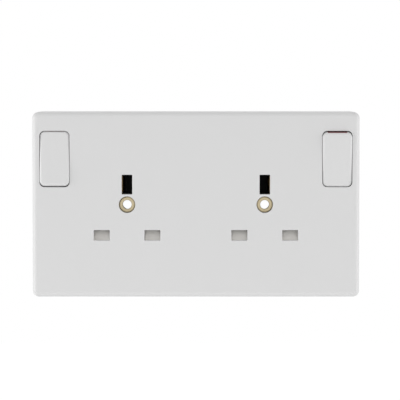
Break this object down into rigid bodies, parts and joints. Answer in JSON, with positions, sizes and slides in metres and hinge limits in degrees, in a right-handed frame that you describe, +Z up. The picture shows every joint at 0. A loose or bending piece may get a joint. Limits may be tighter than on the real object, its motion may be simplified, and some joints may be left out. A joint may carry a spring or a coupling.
{
  "type": "twin switched wall socket",
  "caption": "White twin wall socket for flat three-pin plugs: a deep moulded front with rocker switches, shuttered slots and brass-lined fixing holes for a single wall box.",
  "frame": {"origin": "midway between the fixing holes, on the wall plane", "axes": "+X to the right and +Z up as seen from the front, +Y into the wall"},
  "size_m": [0.1448, 0.0348, 0.0824],
  "materials": {
    "white_moulding": "moulded, semi-gloss white",
    "white_rocker": "moulded, semi-gloss white",
    "dark_moulding": "moulded, matte black",
    "grey_moulding": "moulded, matte grey",
    "shutter_moulding": "moulded, matte pale grey",
    "brass": "stamped and folded sheet",
    "eyelet_brass": "rolled eyelet, dull",
    "silver_alloy": "riveted contact buttons",
    "spring_steel": "coiled wire",
    "plated_steel": "zinc-plated screws"
  },
  "bodies": {
    "housing": {"front_plate": "white_moulding", "back_cover": "dark_moulding", "cover_screws": "plated_steel", "fixed_tip_left": "silver_alloy", "fixed_tip_right": "silver_alloy", "line_supply_bar": "brass", "line_strap_left": "brass", "line_strap_right": "brass", "neutral_bar": "brass", "earth_bar": "brass", "fixing_eyelet_left": "eyelet_brass", "fixing_eyelet_right": "eyelet_brass", "shutter_spring_left": "spring_steel", "shutter_spring_right": "spring_steel", "shutter_keeper_left": "grey_moulding", "shutter_keeper_right": "grey_moulding", "line_terminal": "brass", "line_terminal_screw": "plated_steel", "neutral_terminal": "brass", "neutral_terminal_screw": "plated_steel", "earth_terminal_left": "brass", "earth_terminal_right": "brass", "earth_terminal_screw_left": "plated_steel", "earth_terminal_screw_right": "plated_steel"},
    "left_rocker": {"rocker_left": "white_rocker", "rocker_plunger_left": "grey_moulding", "rocker_spring_left": "spring_steel"},
    "left_contact": {"moving_contact_left": "brass", "moving_tip_left": "silver_alloy"},
    "left_shutter": {"shutter_left": "shutter_moulding"},
    "right_rocker": {"rocker_right": "white_rocker", "rocker_plunger_right": "grey_moulding", "rocker_spring_right": "spring_steel"},
    "right_contact": {"moving_contact_right": "brass", "moving_tip_right": "silver_alloy"},
    "right_shutter": {"shutter_right": "shutter_moulding"}
  },
  "joints": [
    {"name": "left_switch", "type": "hinge", "parent": "housing", "child": "left_rocker", "pos_m": [-0.0618, -0.0178, 0.01995], "axis": [1, 0, 0], "range_deg": [0, 9]},
    {"name": "left_contact_swing", "type": "hinge", "parent": "housing", "child": "left_contact", "pos_m": [-0.0618, -0.0073, 0.01995], "axis": [1, 0, 0], "range_deg": [-18, 0]},
    {"name": "left_shutter_slide", "type": "slide", "parent": "housing", "child": "left_shutter", "axis": [0, 0, -1], "range_m": [0, 0.0049], "stiffness_N_per_m": 100, "springref_m": -0.004, "deforming": ["shutter_spring_left"]},
    {"name": "right_switch", "type": "hinge", "parent": "housing", "child": "right_rocker", "pos_m": [0.0618, -0.0178, 0.01995], "axis": [1, 0, 0], "range_deg": [-9, 0]},
    {"name": "right_contact_swing", "type": "hinge", "parent": "housing", "child": "right_contact", "pos_m": [0.0618, -0.0073, 0.01995], "axis": [1, 0, 0], "range_deg": [0, 18]},
    {"name": "right_shutter_slide", "type": "slide", "parent": "housing", "child": "right_shutter", "axis": [0, 0, -1], "range_m": [0, 0.0049], "stiffness_N_per_m": 100, "springref_m": -0.004, "deforming": ["shutter_spring_right"]}
  ],
  "couplings": [
    {"joint": "left_contact_swing", "follows": "left_switch", "ratio": -2},
    {"joint": "right_contact_swing", "follows": "right_switch", "ratio": -2}
  ]
}
